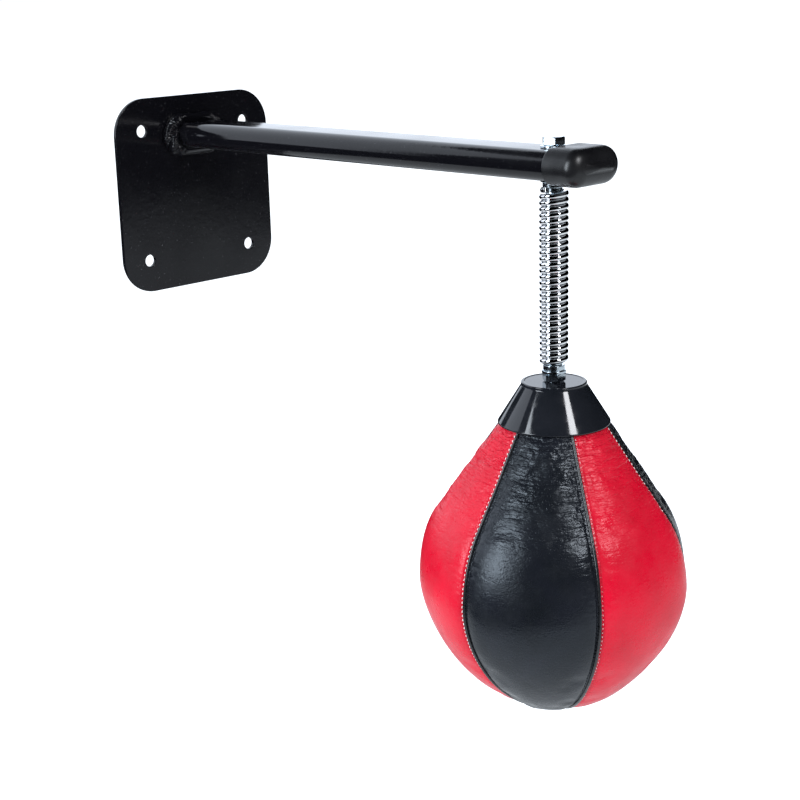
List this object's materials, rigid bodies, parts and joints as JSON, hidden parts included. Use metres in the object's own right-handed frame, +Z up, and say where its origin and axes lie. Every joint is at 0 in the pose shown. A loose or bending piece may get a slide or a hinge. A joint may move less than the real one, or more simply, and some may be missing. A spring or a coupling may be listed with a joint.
{
  "type": "wall-mounted spring speed bag",
  "caption": "Wall-mounted speed bag: a steel plate with a welded flat-oval arm, a coil spring bolted under its end and a teardrop bag of red and black leather panels.",
  "frame": {"origin": "middle of the wall plate's back face, where it meets the wall", "axes": "+Y points into the wall, square to the plate; the arm reaches out along -Y; +Z is up; X runs along the wall"},
  "size_m": [0.2388, 0.6107, 0.538],
  "materials": {
    "black_paint": "satin",
    "cap_rubber": "satin",
    "zinc_plate": "bright zinc",
    "chrome_wire": "polished",
    "collar_plastic": "gloss",
    "red_leather": "semi-gloss",
    "black_leather": "semi-gloss",
    "piping_leather": "gloss",
    "bladder_rubber": "matte"
  },
  "bodies": {
    "bracket": {"wall_plate": "black_paint", "arm_weld_bead": "black_paint", "arm_tube": "black_paint", "arm_end_cap": "cap_rubber", "hanger_bolt": "zinc_plate", "hanger_top_washer": "zinc_plate", "hanger_lower_washer": "zinc_plate", "upper_spring_plug": "zinc_plate", "spring_top_coils": "chrome_wire"},
    "coil_1": {"spring_coils_1": "chrome_wire"},
    "coil_2": {"spring_coils_2": "chrome_wire"},
    "coil_3": {"spring_coils_3": "chrome_wire"},
    "coil_4": {"spring_coils_4": "chrome_wire"},
    "coil_5": {"spring_coils_5": "chrome_wire"},
    "coil_6": {"spring_coils_6": "chrome_wire"},
    "coil_7": {"spring_coils_7": "chrome_wire"},
    "spring_foot": {"spring_bottom_coils": "chrome_wire"},
    "bag": {"lower_spring_plug": "zinc_plate", "collar_stud": "zinc_plate", "collar_top_washer": "zinc_plate", "collar_nut": "zinc_plate", "bag_collar": "collar_plastic", "collar_inner_washer": "zinc_plate", "neck_clamp_disc": "zinc_plate", "neck_lock_nut": "zinc_plate", "black_panel_1": "black_leather", "red_panel_1": "red_leather", "black_panel_2": "black_leather", "red_panel_2": "red_leather", "black_panel_3": "black_leather", "red_panel_3": "red_leather", "seam_piping_1": "piping_leather", "seam_piping_2": "piping_leather", "seam_piping_3": "piping_leather", "seam_piping_4": "piping_leather", "seam_piping_5": "piping_leather", "seam_piping_6": "piping_leather", "bag_bladder": "bladder_rubber", "bladder_valve": "bladder_rubber"}
  },
  "joints": [
    {"name": "swing_in_out_1", "type": "hinge", "parent": "bracket", "child": "coil_1", "pos_m": [0, -0.492, 0.00949], "axis": [1, 0, 0], "range_deg": [-12.5, 12.5], "stiffness_Nm_per_rad": 20, "deforming": ["spring_top_coils", "spring_coils_1"]},
    {"name": "swing_sideways_1", "type": "hinge", "parent": "coil_1", "child": "coil_2", "pos_m": [0, -0.492, -0.00454], "axis": [0, 1, 0], "range_deg": [-12.5, 12.5], "stiffness_Nm_per_rad": 20, "deforming": ["spring_coils_2"]},
    {"name": "swing_in_out_2", "type": "hinge", "parent": "coil_2", "child": "coil_3", "pos_m": [0, -0.492, -0.01857], "axis": [1, 0, 0], "range_deg": [-12.5, 12.5], "stiffness_Nm_per_rad": 20, "deforming": ["spring_coils_3"]},
    {"name": "swing_sideways_2", "type": "hinge", "parent": "coil_3", "child": "coil_4", "pos_m": [0, -0.492, -0.0326], "axis": [0, 1, 0], "range_deg": [-12.5, 12.5], "stiffness_Nm_per_rad": 20, "deforming": ["spring_coils_4"]},
    {"name": "swing_in_out_3", "type": "hinge", "parent": "coil_4", "child": "coil_5", "pos_m": [0, -0.492, -0.04663], "axis": [1, 0, 0], "range_deg": [-12.5, 12.5], "stiffness_Nm_per_rad": 20, "deforming": ["spring_coils_5"]},
    {"name": "swing_sideways_3", "type": "hinge", "parent": "coil_5", "child": "coil_6", "pos_m": [0, -0.492, -0.06066], "axis": [0, 1, 0], "range_deg": [-12.5, 12.5], "stiffness_Nm_per_rad": 20, "deforming": ["spring_coils_6"]},
    {"name": "swing_in_out_4", "type": "hinge", "parent": "coil_6", "child": "coil_7", "pos_m": [0, -0.492, -0.07469], "axis": [1, 0, 0], "range_deg": [-12.5, 12.5], "stiffness_Nm_per_rad": 20, "deforming": ["spring_coils_7"]},
    {"name": "swing_sideways_4", "type": "hinge", "parent": "coil_7", "child": "spring_foot", "pos_m": [0, -0.492, -0.08872], "axis": [0, 1, 0], "range_deg": [-12.5, 12.5], "stiffness_Nm_per_rad": 20, "deforming": ["spring_bottom_coils"]},
    {"name": "bag_twist", "type": "hinge", "parent": "spring_foot", "child": "bag", "pos_m": [0, -0.492, -0.115], "axis": [0, 0, 1], "range_deg": [-25, 25], "stiffness_Nm_per_rad": 5.8}
  ],
  "couplings": [
    {"joint": "swing_in_out_2", "follows": "swing_in_out_1", "ratio": 1},
    {"joint": "swing_sideways_2", "follows": "swing_sideways_1", "ratio": 1},
    {"joint": "swing_in_out_3", "follows": "swing_in_out_1", "ratio": 1},
    {"joint": "swing_sideways_3", "follows": "swing_sideways_1", "ratio": 1},
    {"joint": "swing_in_out_4", "follows": "swing_in_out_1", "ratio": 1},
    {"joint": "swing_sideways_4", "follows": "swing_sideways_1", "ratio": 1}
  ]
}
